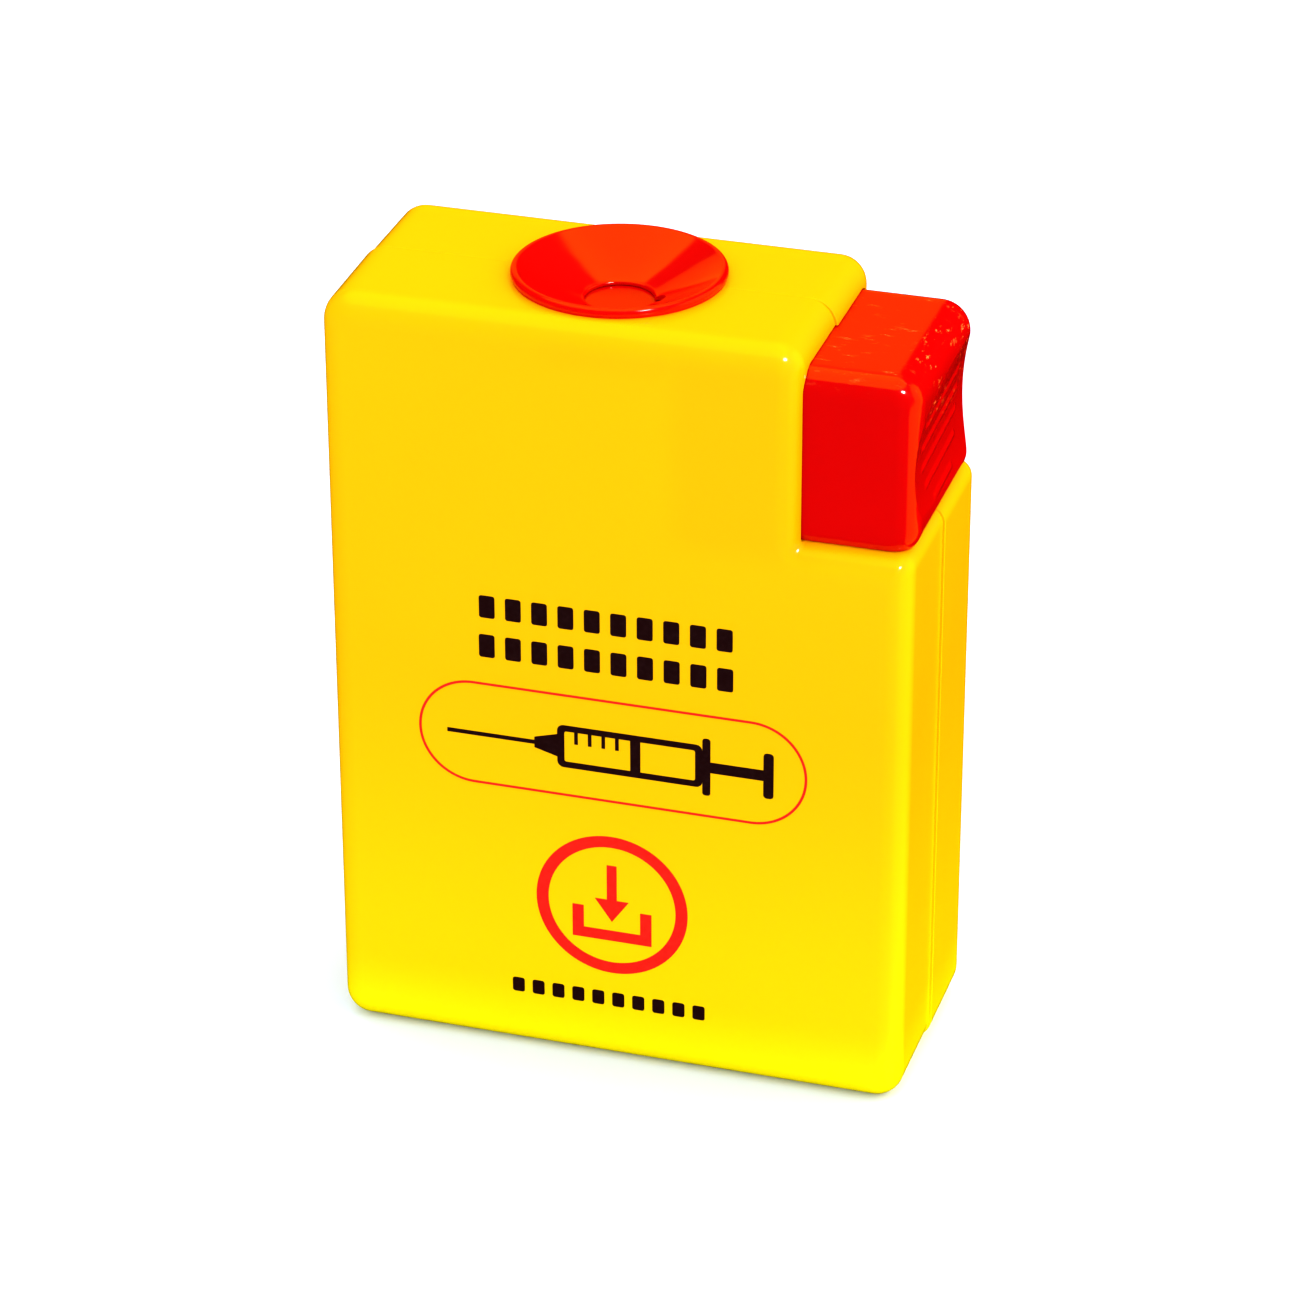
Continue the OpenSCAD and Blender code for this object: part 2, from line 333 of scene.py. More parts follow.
def case_material():
    """Glossy yellow plastic, with painted light that makes it paler towards the floor, and faint
    painted shade where the slide lies behind the wall.
    """
    n = Nodes("case_yellow")
    x, _, z = n.axes()
    # Where the slide's block and tongue lie behind the wall: the mask of the painted shade
    block = n.math("MULTIPLY",
                   band(n, x, BUTTON_IN * MM, (SHOULDER + 2) * MM, 0.0025),
                   band(n, z, (LEDGE - 2) * MM, (BUTTON_TOP + 1) * MM, 0.0025))
    tongue = n.math("MULTIPLY",
                    band(n, x, shutter_low.x * MM, BUTTON_IN * MM, 0.0018),
                    band(n, z, (BUTTON_TOP - 2.5) * MM, (BUTTON_TOP + 1) * MM, 0.0014))
    painted_slide_shade = n.math("MAXIMUM", block, n.math("MULTIPLY", tongue, 0.6))
    cloud = n.fit(n.noise(scale=28.0, detail=3.0), 0.3, 0.7)
    fine = n.noise(scale=2600.0)
    yellow = n.mix(n.math("MULTIPLY", cloud, 0.5), CASE_YELLOW, CASE_CLOUD)
    # Painted light from the floor: paler towards the bottom, and palest in a thin band at the foot
    yellow = n.mix(n.fit(z, 0.0, PAINTED_BOUNCE_HEIGHT, 1.0, 0.0), yellow, CASE_PAINTED_BOUNCE)
    yellow = n.mix(n.fit(z, 0.0, PAINTED_FOOT_GLOW_HEIGHT, 1.0, 0.0), yellow, CASE_PAINTED_FOOT_GLOW)
    # Painted shade of the slide behind the wall
    slide_shaded = n.mix(n.math("MULTIPLY", painted_slide_shade, 0.5), yellow, CASE_PAINTED_SLIDE_SHADE)
    ripple = n.bump(n.noise(scale=60.0, detail=1.0), strength=0.10, distance=0.0006)
    n.set(Base_Color=slide_shaded,
          Roughness=n.fit(fine, 0.3, 0.7, to_low=0.13, to_high=0.17),
          Normal=n.bump(fine, strength=0.03, distance=0.00004, normal=ripple),
          Specular_IOR_Level=0.5)
    return n.material


SCRATCH_PINK, PIT_PINK = rgb(1.0, 0.16, 0.02), rgb(1.0, 0.3, 0.05)


def scratches(n, z):
    """Fine marks along the button, and how far they are worn in on its top."""
    high = n.fit(z, (BUTTON_TOP - 3) * MM, (BUTTON_TOP - 0.2) * MM)
    along = n.stretched((0.35, 1.0, 1.0))
    marks = n.fit(n.noise(scale=900.0, detail=4.0, vector=along, rough=0.7), 0.56, 0.72)
    patch = n.fit(n.noise(scale=130.0), 0.42, 0.6)
    return marks, n.math("MULTIPLY", n.math("MULTIPLY", marks, patch), high)


def thumb_pits(n, x, y, z):
    """Small pits where the thumb rubs, on the upper part of the button's end."""
    thumb = n.math("MULTIPLY", n.fit(x, (BUTTON_END - 4.5) * MM, (BUTTON_END - 2.0) * MM),
                   n.fit(z, (BUTTON_TOP - 15) * MM, (BUTTON_TOP - 5) * MM))
    thumb = n.math("MULTIPLY", thumb, n.fit(y, -10.5 * MM, -8 * MM))
    across = n.stretched((1.0, 0.4, 1.0))
    pits = n.fit(n.noise(scale=1300.0, detail=3.0, vector=across, rough=0.7), 0.58, 0.66)
    patch = n.fit(n.noise(scale=160.0, detail=1.0), 0.4, 0.55)
    return n.math("MULTIPLY", pits, n.math("MULTIPLY", thumb, patch))


def red_material(name, base, ripple=0.08, scuffs=0.0):
    """Glossy red plastic; ripple is its moulded waviness, and scuffs its wear on top and end."""
    n = Nodes(name)
    fine = n.noise(scale=2200.0)
    cloud = n.fit(n.noise(scale=45.0, detail=3.0), 0.3, 0.7)
    darker = rgb(base[0] * 0.95, base[1], base[2])
    colour = n.mix(cloud, darker, rgb(*base))
    roughness = n.fit(fine, 0.3, 0.7, to_low=0.1, to_high=0.14)
    normal = n.bump(n.noise(scale=90.0, detail=1.0), strength=ripple, distance=0.0005)
    if scuffs:
        x, y, z = n.axes()
        marks, worn = scratches(n, z)
        pits = thumb_pits(n, x, y, z)
        colour = n.mix(n.math("MULTIPLY", worn, scuffs), colour, SCRATCH_PINK)
        colour = n.mix(n.math("MULTIPLY", pits, 1.6 * scuffs), colour, PIT_PINK)
        worn = n.math("MAXIMUM", worn, pits)
        roughness = n.math("ADD", roughness, n.math("MULTIPLY", worn, 0.2))
        normal = n.bump(marks, strength=0.12, distance=0.00008, normal=normal)
    n.set(Base_Color=colour, Roughness=roughness,
          Normal=n.bump(fine, strength=0.02, distance=0.00004, normal=normal),
          Specular_IOR_Level=0.5)
    return n.material


def ink_material(name, colour):
    """Screen-printed ink: nearly flat, with a fine grain."""
    n = Nodes(name)
    grain = n.noise(scale=1800.0, detail=3.0)
    paler = rgb(*(min(1.0, c * 1.25 + 0.004) for c in colour))
    n.set(Base_Color=n.mix(n.fit(grain, 0.4, 0.8), rgb(*colour), paler),
          Roughness=n.fit(grain, 0.3, 0.7, to_low=0.38, to_high=0.5),
          Normal=n.bump(grain, strength=0.05, distance=0.00003),
          Specular_IOR_Level=0.3)
    return n.material


def tray_material():
    """Satin yellow plastic of the inner tray."""
    n = Nodes("tray_yellow")
    grain = n.noise(scale=1500.0, detail=3.0)
    n.set(Base_Color=n.mix(grain, rgb(0.9, 0.55, 0.01), rgb(0.98, 0.66, 0.02)),
          Roughness=n.fit(grain, 0.3, 0.7, to_low=0.4, to_high=0.52),
          Normal=n.bump(grain, strength=0.06, distance=0.00005))
    return n.material


def steel_material():
    """Drawn spring wire, with fine marks along the wire."""
    n = Nodes("spring_steel")
    marks = n.noise(scale=3500.0, detail=3.0, vector=n.stretched((0.4, 1.0, 1.0)))
    n.set(Base_Color=n.mix(marks, rgb(0.52, 0.52, 0.54), rgb(0.72, 0.72, 0.74)),
          Roughness=n.fit(marks, 0.3, 0.7, to_low=0.24, to_high=0.36),
          Normal=n.bump(marks, strength=0.05, distance=0.00002),
          Metallic=1.0)
    return n.material


CASE = case_material()
FUNNEL_RED = red_material("funnel_red", (0.72, 0.002, 0.0), ripple=1.0)
BUTTON_RED = red_material("button_red", (0.66, 0.0, 0.0), scuffs=0.5)
SHUTTER_RED = red_material("shutter_red", (0.62, 0.001, 0.0))
TRAY = tray_material()
STEEL = steel_material()
INK_DARK = ink_material("ink_dark", (0.03, 0.003, 0.003))
INK_RED = ink_material("ink_red", (0.78, 0.012, 0.0))


# ---------------------------------------------------------------- the half shells
# SUPPORT is how far the rows beside a curve lie from it, to keep the flat faces' shading flat
SUPPORT = 0.25
LEAST_CORNER_R = 0.4


def arc(centre, radius, start, end, steps=ARC_STEPS):
    """Points of an arc in the XZ plane, by the angle of the outward normal, in degrees."""
    angles = [math.radians(start + (end - start) * i / steps) for i in range(steps + 1)]
    return [(centre[0] + radius * math.cos(a), centre[1] + radius * math.sin(a)) for a in angles]


def corner(x, z, radius, start, inset):
    """A convex corner's arc between two support points, set in from the outline."""
    turn = math.radians(start)
    side = (math.cos(turn), math.sin(turn))
    ahead = (-side[1], side[0])
    left = max(radius - inset, LEAST_CORNER_R)
    back = inset + left
    centre = (x - back * (side[0] + ahead[0]), z - back * (side[1] + ahead[1]))
    points = arc(centre, left, start, start + 90)
    first = (points[0][0] - SUPPORT * ahead[0], points[0][1] - SUPPORT * ahead[1])
    last = (points[-1][0] - SUPPORT * side[0], points[-1][1] - SUPPORT * side[1])
    return [first, *points, last]


def notch_corner(x, z, radius, inset):
    """The concave corner where the ledge meets the shoulder."""
    centre = (x + radius, z + radius)
    points = arc(centre, -(radius + inset), 90, 0)
    first = (points[0][0] + SUPPORT, points[0][1])
    last = (points[-1][0], points[-1][1] + SUPPORT)
    return [first, *points, last]


def case_outline(shift, inset, left_r):
    """The case seen from the front, counter-clockwise, set in by the distance given."""
    left, right, shoulder = shift - CASE_HALF, shift + CASE_HALF, shift + SHOULDER
    return [
        *corner(left, 0, CORNER_R, 180, inset),
        *corner(right, 0, CORNER_R, 270, inset),
        *corner(right, LEDGE, LEDGE_CORNER_R, 0, inset),
        *notch_corner(shoulder, LEDGE, NOTCH_CORNER_R, inset),
        *corner(shoulder, CASE_TOP, CORNER_R, 0, inset),
        *corner(left, CASE_TOP, left_r, 90, inset),
    ]


def shell_levels(depth, radius, inset, chamfer):
    """(distance from the seam, inset) from the seam out to the face, round the edge's fillet."""
    levels = [(0.0, inset + chamfer), (1.5 * chamfer, inset), (1.5 * chamfer + SUPPORT, inset)]
    levels.append((depth - radius - SUPPORT, inset))
    for i in range(ARC_STEPS + 1):
        a = math.pi / 2 * i / ARC_STEPS
        levels.append((depth - radius + radius * math.sin(a), inset + radius * (1 - math.cos(a))))
    levels.append((depth, inset + radius + SUPPORT / 2))
    return levels


def shell_object(name, side):
    """A hollow half shell, closed on its face and open at the seam. side is -1 in front."""
    shift = side * SEAM_SHIFT
    face = HALF_DEPTH - (INK_T if side < 0 else 0)
    seam_r, growth = (FRONT_LEFT_R, FRONT_LEFT_GROWTH) if side < 0 else (BACK_LEFT_R, 0.0)
    chamfer = FRONT_CHAMFER if side < 0 else BACK_CHAMFER
    bm = bmesh.new()
    outer = [[(x, side * y, z) for x, z in case_outline(shift, inset, seam_r + growth * y / face)]
             for y, inset in shell_levels(face, EDGE_R, 0.0, chamfer)]
    inner = [[(x, side * y, z) for x, z in case_outline(0, inset, seam_r)]
             for y, inset in shell_levels(HALF_DEPTH - WALL, EDGE_R - WALL, WALL, 0.0)]
    del inner[1]  # without a chamfer, the second level repeats the first
    add_solid(bm, [*reversed(outer), *inner])
    return make_object(name, bm)


def window_cutter(half_y):
    """A block of the button's own section, with round top edges."""
    radius, top = BUTTON_EDGE_R + WINDOW_GAP, BUTTON_TOP + WINDOW_GAP
    section = [(-half_y, LEDGE), (half_y, LEDGE)]
    section += arc((half_y - radius, top - radius), radius, 0, 90)
    section += arc((radius - half_y, top - radius), radius, 90, 180)
    bm = bmesh.new()
    add_solid(bm, [[(x, y, z) for y, z in section] for x in (SHOULDER - WALL - 1, SHOULDER + 4)])
    return make_object("window_cutter", bm)


def cut_case_openings(shell):
    """The slide's window in the shoulder and the funnel's hole in the top."""
    cut(shell, window_cutter(BUTTON_Y + WINDOW_GAP))
    centre = (INLET_X, 0, CASE_TOP)
    cut(shell, cylinder_object("hole_cutter", centre, (0, 0, 1), NECK_R + HOLE_GAP, 12))


def make_shells():
    front = shell_object("front_half", -1)
    back = shell_object("back_half", 1)
    for shell, node in ((front, "front_shell"), (back, "back_shell")):
        cut_case_openings(shell)
        place(shell, "root", "case", CASE, node)


# ---------------------------------------------------------------- the funnel
# The dish meets the rim's bead at LIP_SLOPE, and flattens by a power law towards the throat
LIP_SLOPE = math.radians(29)
DISH_T = 0.65
THROAT_T = 0.4
BEAD_AT = RIM_R - BEAD_R
DISH_R = BEAD_AT - BEAD_R * math.sin(LIP_SLOPE)
THROAT_Z = BUTTON_TOP - CASE_TOP + THROAT_T + 0.1
DISH_RISE = BEAD_R * (1 + math.cos(LIP_SLOPE)) - THROAT_Z
DISH_POWER = math.tan(LIP_SLOPE) * (DISH_R - THROAT_R) / DISH_RISE


def dish_height(radius):
    """Height of the dish's upper surface above the case's top, by radius."""
    t = (radius - THROAT_R) / (DISH_R - THROAT_R)
    return THROAT_Z + DISH_RISE * max(t, 0.0) ** DISH_POWER


def funnel_profile():
    """The funnel's closed section, as radius and height above the case's top."""
    steps = 48
    lip_r = THROAT_LIP_R
    neck_in = NECK_R - NECK_T
    radii = [THROAT_R + lip_r + (DISH_R - THROAT_R - lip_r) * i / steps for i in range(steps + 1)]
    lip_z = dish_height(radii[0])
    lip = [(THROAT_R + lip_r - lip_r * math.cos(a), lip_z - lip_r + lip_r * math.sin(a))
           for a in (math.radians(12 * i) for i in range(7))]
    dish = [(r, dish_height(r)) for r in radii]
    bead = [(BEAD_AT + BEAD_R * math.cos(a), BEAD_R + BEAD_R * math.sin(a))
            for a in (math.radians(114 - 6 * i) for i in range(27))]
    hold = [(bead[-1][0], 0.0), (NECK_R, 0.0), (NECK_R, COLLAR_TOP), (COLLAR_R, COLLAR_TOP),
            (COLLAR_R, COLLAR_BOTTOM), (neck_in, COLLAR_BOTTOM)]
    bottom = THROAT_Z - THROAT_T
    under = [(r, max(dish_height(r) - DISH_T, bottom)) for r in reversed(radii) if r < neck_in]
    return [(THROAT_R, bottom), *lip, *dish, *bead, *hold, *under]


def make_funnel():
    """The section turned about the inlet's axis, with the hub notch cut beside the throat."""
    bm = bmesh.new()
    steps = 192
    profile = funnel_profile()
    rings = []
    for i in range(steps + 1):
        a = 2 * math.pi * i / steps
        rings.append([(INLET_X + r * math.cos(a), r * math.sin(a), CASE_TOP + z)
                      for r, z in profile])
    add_rings(bm, rings)
    funnel = make_object("funnel_dish", bm)
    notch_at = (INLET_X + THROAT_R + HUB_NOTCH_R / 2, 0, CASE_TOP - 2)
    cut(funnel, cylinder_object("notch_cutter", notch_at, (0, 0, 1), HUB_NOTCH_R, 5, 48))
    place(funnel, "root", "funnel", FUNNEL_RED, "funnel")


# ---------------------------------------------------------------- the push button
def recess(z):
    """How deep the thumb recess is at a height; negative beyond its ends."""
    reach = math.sqrt(RECESS_R ** 2 - (z - RECESS_Z) ** 2)
    return reach - (RECESS_R - RECESS_DEPTH)


def button_chain():
    """The button's side view: its foot, its thumb end and its top, with round corners."""
    low, high = BUTTON_FOOT + BUTTON_CORNER_R, BUTTON_TOP - BUTTON_CORNER_R
    bend_x = BUTTON_END - BUTTON_CORNER_R
    foot = [(BUTTON_IN, BUTTON_FOOT), (bend_x - SUPPORT, BUTTON_FOOT)]
    foot += arc((bend_x, low), BUTTON_CORNER_R, -90, 0, 16)
    top = [(BUTTON_END, low + SUPPORT), (BUTTON_END, high - SUPPORT)]
    top += arc((bend_x, high), BUTTON_CORNER_R, 0, 90, 16)
    return foot + top + [(bend_x - SUPPORT, BUTTON_TOP), (BUTTON_IN, BUTTON_TOP)]


def chain_normals(points):
    """Outward normals along the chain."""
    normals = []
    for i in range(len(points)):
        a, b = points[max(i - 1, 0)], points[min(i + 1, len(points) - 1)]
        along = Vector((b[0] - a[0], b[1] - a[1])).normalized()
        normals.append(Vector((along.y, -along.x)))
    return normals


def button_body():
    """The solid outside of the button: the chain swept front to back, with round side edges."""
    chain = button_chain()
    normals = chain_normals(chain)
    rows = [(BUTTON_Y - BUTTON_EDGE_R - SUPPORT, 0.0)]
    for i in range(ARC_STEPS + 1):
        a = math.pi / 2 * i / ARC_STEPS
        rows.append((BUTTON_Y - BUTTON_EDGE_R * (1 - math.sin(a)),
                     BUTTON_EDGE_R * (1 - math.cos(a))))
    rows.append((BUTTON_Y, BUTTON_EDGE_R + SUPPORT / 2))
    levels = [(-y, inset) for y, inset in reversed(rows)] + rows
    bm = bmesh.new()
    rings = []
    for y, inset in levels:
        least_x = BUTTON_IN + max(inset - BUTTON_EDGE_R, 0.0)
        rings.append([(max(x - n.x * inset, least_x), y, z - n.y * inset)
                      for (x, z), n in zip(chain, normals)])
    add_solid(bm, rings)
    return make_object("thumb_button", bm)


def ridge(y, z):
    """Height of the grip ridges on the recess: smooth in section, and sloping off at each end."""
    height = 0.0
    for i in range(RIDGE_COUNT):
        ridge_z = RECESS_Z - RIDGE_DROP + (i - RIDGE_COUNT // 2) * RIDGE_PITCH
        half = OVAL_HALF_Y * math.sqrt(1 - ((ridge_z - RECESS_Z - OVAL_RISE) / OVAL_HALF_Z) ** 2)
        across = max(0.0, 1 - abs(z - ridge_z) / RIDGE_HALF_W)
        along = min(1.0, max(0.0, (half - abs(y)) / RIDGE_END))
        height += RIDGE_OUT * across * across * (3 - 2 * across) * along * along * (3 - 2 * along)
    return height


def recess_cutter():
    """What the thumb recess takes away: its left side is the ridged, hollow surface."""
    rows, columns, half_z, half_y = 150, 88, 10.5, BUTTON_Y + 1
    outside = BUTTON_END + 4
    bm = bmesh.new()
    rings = []
    for i in range(rows + 1):
        z = RECESS_Z + half_z * (2 * i / rows - 1)
        ring = [(outside, half_y, z), (outside, -half_y, z)]
        for k in range(columns + 1):
            y = half_y * (2 * k / columns - 1)
            ring.append((BUTTON_END - recess(z) - RECESS_LEAN * y + ridge(y, z), y, z))
        rings.append(ring)
    add_solid(bm, rings)
    return make_object("recess_cutter", bm)


def make_button():
    """The block, less its foot, the recess, the cavity and the opening that the shutter fills."""
    button = button_body()
    past = 5  # how far a cutter reaches beyond the block
    inside, wall_y = BUTTON_IN - past, BUTTON_Y - BUTTON_WALL
    cut(button, box_object("foot_cutter", (inside, -BUTTON_Y - past, BUTTON_FOOT - past),
                           (BUTTON_END + past, BUTTON_Y + past, BUTTON_BOTTOM - FOOT_DROP)))
    cut(button, recess_cutter())
    cut(button, box_object("cavity_cutter", (inside, -wall_y, BUTTON_BOTTOM - past),
                           (BUTTON_END - BUTTON_END_WALL, wall_y, BUTTON_TOP - BUTTON_WALL)))
    cut(button, box_object("plate_cutter", (inside, -wall_y, BUTTON_TOP - PLATE_T - 1),
                           (SHOULDER - PLATE_GAP, wall_y, BUTTON_TOP + 1)))
    place(button, "slide", "button", BUTTON_RED, "push_button")


# ---------------------------------------------------------------- the return spring
def make_spring():
    """A coil between the tray's cross plate and the button."""
    wire, turns, sides, per_turn = 0.7, 9, 10, 48
    coil_r = (spring_high.y - spring_low.y) / 2 - wire / 2
    centre_z = (spring_high.z + spring_low.z) / 2
    start, end = spring_low.x + wire / 2, spring_high.x - wire / 2
    bm = bmesh.new()
    rings = []
    for k in range(turns * per_turn + 1):
        a = 2 * math.pi * k / per_turn
        x = start + (end - start) * k / (turns * per_turn)
        ring = []
        for i in range(sides):
            b = 2 * math.pi * i / sides
            r = coil_r + wire / 2 * math.cos(b)
            ring.append((x + wire / 2 * math.sin(b), r * math.cos(a), centre_z + r * math.sin(a)))
        rings.append(ring)
    add_solid(bm, rings)
    spring = make_object("coil_spring", bm)
    place(spring, "root", "spring", STEEL, "return_spring")
    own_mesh(spring)


# ---------------------------------------------------------------- the print
# The ink stands out by INK_T, and is INK_SINK times as thick, so its back is inside the wall
INK_SINK = 1.2
PRINT_X = -0.5
BLOCK_HALF, BLOCK_R = 0.3, 0.35
SYRINGE_Z = 48.4


def plate(bm, *loops):
    """A flat ink shape on the front face: one loop, or the band between an inner and an outer."""
    y_out, y_in = -HALF_DEPTH, -HALF_DEPTH + INK_T * INK_SINK
    rings = []
    for loop in loops:
        rings.append([(x, y_out, z) for x, z in loop])
        rings.insert(0, [(x, y_in, z) for x, z in loop])
    if len(loops) == 1:
        add_solid(bm, rings)
    else:
        add_rings(bm, [*rings, rings[0]])


def rectangle(x0, z0, x1, z1, radius=0.0, steps=4):
    """A rectangle's loop, with round corners where a radius is given."""
    if not radius:
        return [(x0, z0), (x1, z0), (x1, z1), (x0, z1)]
    loop = []
    for cx, cz, start in ((x0 + radius, z0 + radius, 180), (x1 - radius, z0 + radius, 270),
                          (x1 - radius, z1 - radius, 0), (x0 + radius, z1 - radius, 90)):
        loop += arc((cx, cz), radius, start, start + 90, steps)
    return loop


def circle(x, z, radius, steps=96):
    """A circle's loop."""
    return arc((x, z), radius, 0, 360, steps)[:-1]


def block_row(bm, centre, z0, z1, width, count):
    """A row of plain upright blocks, BLOCK_HALF of their pitch to each side."""
    pitch = width / count
    for i in range(count):
        x = centre - width / 2 + (i + 0.5) * pitch
        plate(bm, rectangle(x - pitch * BLOCK_HALF, z0, x + pitch * BLOCK_HALF, z1, BLOCK_R))


def make_dark_print():
    """Three rows of blocks, and a syringe lying along the middle of the long outline."""
    bm = bmesh.new()
    block_row(bm, PRINT_X - 0.7, 66.1, 69.4, 36.4, 10)
    block_row(bm, PRINT_X - 0.7, 60.2, 63.6, 36.6, 10)
    block_row(bm, PRINT_X - 0.6, 8.8, 11.0, 28.6, 10)
    mid = SYRINGE_Z
    hub_x, barrel_x, flange_x, rod_x, rest_x, end_x = -11.2, -8.0, 12.2, 13.3, 20.6, 22.0
    bore, wall = 2.3, 3.2
    needle = rectangle(-23.5, mid - 0.3, hub_x, mid + 0.3)
    hub = [(hub_x, mid - 0.8), (barrel_x, mid - 1.7), (barrel_x, mid + 1.7), (hub_x, mid + 0.8)]
    barrel_in = rectangle(barrel_x + 1, mid - bore, flange_x - 1, mid + bore, 0.3)
    barrel_out = rectangle(barrel_x, mid - wall, flange_x, mid + wall, 0.9)
    stopper = rectangle(2.2, mid - bore, 3.6, mid + bore)
    plate(bm, needle)
    plate(bm, hub)
    plate(bm, barrel_in, barrel_out)
    plate(bm, stopper)
    for i in range(4):
        plate(bm, rectangle(-5.6 + 1.9 * i, mid + 0.5, -5.1 + 1.9 * i, mid + bore))
    plate(bm, rectangle(flange_x, mid - 4.3, rod_x, mid + 4.3, 0.4))
    plate(bm, rectangle(rod_x, mid - 0.8, rest_x, mid + 0.8))
    plate(bm, rectangle(rest_x, mid - 3.4, end_x, mid + 3.4, 0.5))
    place(make_object("print_dark", bm), "root", "ink_dark", INK_DARK)


def make_red_print():
    """The long outline, and a round emblem: a needle dropping into an open box."""
    bm = bmesh.new()
    x0, x1, z0, z1, line = -27.5, 26.6, 40.8, 56.3, 0.35
    outer_r = (z1 - z0) / 2
    plate(bm, rectangle(x0 + line, z0 + line, x1 - line, z1 - line, outer_r - line, 24),
          rectangle(x0, z0, x1, z1, outer_r, 24))
    x, z = PRINT_X, 24.8
    plate(bm, circle(x, z, 9.0), circle(x, z, 10.7))
    arrow = [(x - 2.4, z + 0.8), (x, z - 2.6), (x + 2.4, z + 0.8), (x + 0.7, z + 0.8),
             (x + 0.7, z + 6.2), (x - 0.7, z + 6.2), (x - 0.7, z + 0.8)]
    open_box = [(x - 5.6, z - 0.6), (x - 5.6, z - 5.6), (x + 5.6, z - 5.6), (x + 5.6, z - 0.6),
                (x + 4.0, z - 0.6), (x + 4.0, z - 4.0), (x - 4.0, z - 4.0), (x - 4.0, z - 0.6)]
    plate(bm, arrow)
    plate(bm, open_box)
    place(make_object("print_red", bm), "root", "ink_red", INK_RED)


# ---------------------------------------------------------------- the CAD nodes that stay
def dress_node(node, material):
    """A better material on a CAD node whose shape is right."""
    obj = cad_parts[node]
    obj.data.materials.clear()
    obj.data.materials.append(material)


make_shells()
make_funnel()
make_button()
make_spring()
make_dark_print()
make_red_print()
dress_node("shutter", SHUTTER_RED)
dress_node("slide_tray", TRAY)


# ---------------------------------------------------------------- floor, light and camera
def make_floor():
    """A plain pale floor, tinted so that the contact shadow comes out nearly neutral."""
    bm = bmesh.new()
    reach = 3000
    corners = [(-reach, -reach, 0), (reach, -reach, 0), (reach, reach, 0), (-reach, reach, 0)]
    bm.faces.new([bm.verts.new(c) for c in corners])
    floor = make_object("floor", bm)
    n = Nodes("floor_white")
    n.set(Base_Color=rgb(0.76, 0.82, 0.95), Roughness=0.9, Specular_IOR_Level=0.0,
          Emission_Color=rgb(0.1, 0.5, 1.0), Emission_Strength=0.04)
    n.material.cycles.emission_sampling = "NONE"
    floor.data.materials.append(n.material)
    floor.visible_glossy = False


def area_light(name, location, target, width, height, power):
    """An elliptic light that faces its target."""
    light = bpy.data.lights.new(name, "AREA")
    light.shape = "ELLIPSE"
    light.size = width
    light.size_y = height
    light.energy = power
    obj = bpy.data.objects.new(name, light)
    bpy.context.scene.collection.objects.link(obj)
    obj.location = location
    obj.rotation_mode = "QUATERNION"
    obj.rotation_quaternion = (Vector(target) - Vector(location)).to_track_quat("-Z", "Y")
    return obj


STUDIO_LOW = rgb(0.92, 0.92, 0.94)
STUDIO_HIGH = rgb(1.05, 1.05, 1.1)
STUDIO_RIGHT = rgb(1.75, 1.75, 1.75)
MIRRORED_DARK = rgb(0.01, 0.003, 0.0)
MIRRORED_CEILING = rgb(1.8, 1.3, 0.02)
MIRRORED_WALL = rgb(1.0, 0.36, 0.01)
MIRRORED_SIDE = rgb(2.2, 0.8, 0.01)

# Round panels of the mirrored room: direction, and the cosines where each starts and is full
CEILING = ((-0.1, 0.0, 1.0), math.cos(math.radians(39)), math.cos(math.radians(35)))
WALL_LOW = ((-0.42, 0.86, 0.3), 0.93, 0.945)
WALL_HIGH = ((-0.2, 0.68, 0.7), 0.94, 0.96)
SIDE_LOW = ((0.88, -0.05, -0.45), 0.82, 0.87)
SIDE_HIGH = ((0.88, 0.4, 0.25), 0.85, 0.88)

LAMP_TARGET = (0, 0, 0.09)
LAMP_TOWARD = (0.54, -0.455, 0.707)
LAMP_DISTANCE, LAMP_WIDTH, LAMP_HEIGHT, LAMP_POWER = 0.8, 0.17, 0.11, 2.9


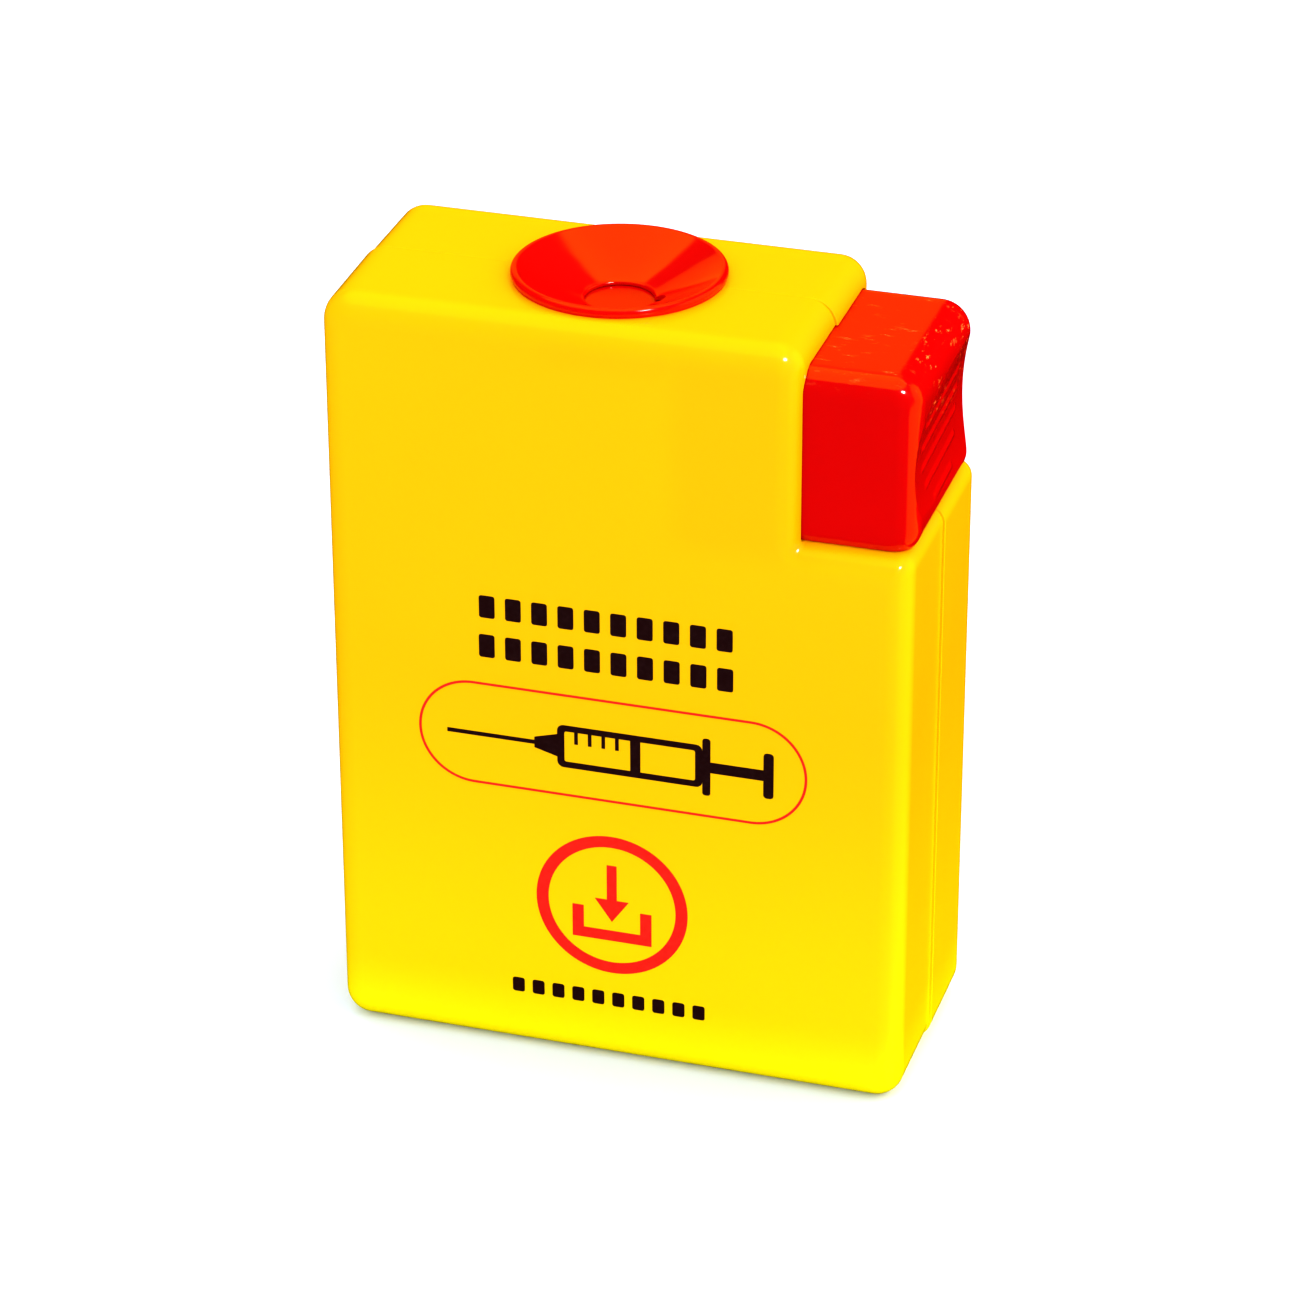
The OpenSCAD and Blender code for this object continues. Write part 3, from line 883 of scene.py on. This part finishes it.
def make_world():
    """A white studio. The gloss mirrors a warmer one: a bright ceiling, and softboxes behind."""
    n = WorldNodes()
    studio = n.mix(n.panel((0, 0, 1), 0.0, 1.0), STUDIO_LOW, STUDIO_HIGH)
    studio = n.mix(n.panel((1, 0.2, 0), 0.1, 0.9), studio, STUDIO_RIGHT)
    wall = n.math("MAXIMUM", n.panel(*WALL_LOW), n.panel(*WALL_HIGH))
    side = n.math("MAXIMUM", n.panel(*SIDE_LOW), n.panel(*SIDE_HIGH))
    mirrored = n.mix(wall, MIRRORED_DARK, MIRRORED_WALL)
    mirrored = n.mix(side, mirrored, MIRRORED_SIDE)
    mirrored = n.mix(n.panel(*CEILING), mirrored, MIRRORED_CEILING)
    n.link(n.mix(n.glossy_ray(), studio, mirrored), n.shader.inputs["Color"])


def make_light():
    """The world, one lamp that shows only as a highlight, and the photo's strong contrast."""
    make_world()
    target = Vector(LAMP_TARGET)
    lamp = area_light("lamp", target + LAMP_DISTANCE * Vector(LAMP_TOWARD), target,
                      LAMP_WIDTH, LAMP_HEIGHT, LAMP_POWER)
    lamp.visible_diffuse = False
    bpy.context.scene.view_settings.view_transform = "Standard"
    bpy.context.scene.view_settings.look = "High Contrast"


def make_camera():
    """The photograph's view: a long lens, from the right of the front and above, in mm."""
    azimuth, elevation, roll = (math.radians(a) for a in (17.105, 28.029, -0.135))
    distance, side_shift, up_shift = 680.97, -1.179, -0.075
    middle = Vector((0, 2.65, 54))
    back = Vector((math.sin(azimuth) * math.cos(elevation),
                   -math.cos(azimuth) * math.cos(elevation), math.sin(elevation)))
    right = (-back).cross(Vector((0, 0, 1))).normalized()
    up = back.cross(right)
    rolled_right = math.cos(roll) * right + math.sin(roll) * up
    rolled_up = math.cos(roll) * up - math.sin(roll) * right
    aim = middle + side_shift * rolled_right + up_shift * rolled_up
    data = bpy.data.cameras.new("camera")
    data.sensor_width = 36
    data.lens = 138.906
    camera = bpy.data.objects.new("camera", data)
    bpy.context.scene.collection.objects.link(camera)
    turn = Matrix((rolled_right, rolled_up, back)).transposed().to_4x4()
    camera.matrix_world = Matrix.Translation((aim + back * distance) * MM) @ turn
    data.clip_start = 0.01
    data.clip_end = 20
    bpy.context.scene.camera = camera


make_floor()
make_light()
make_camera()
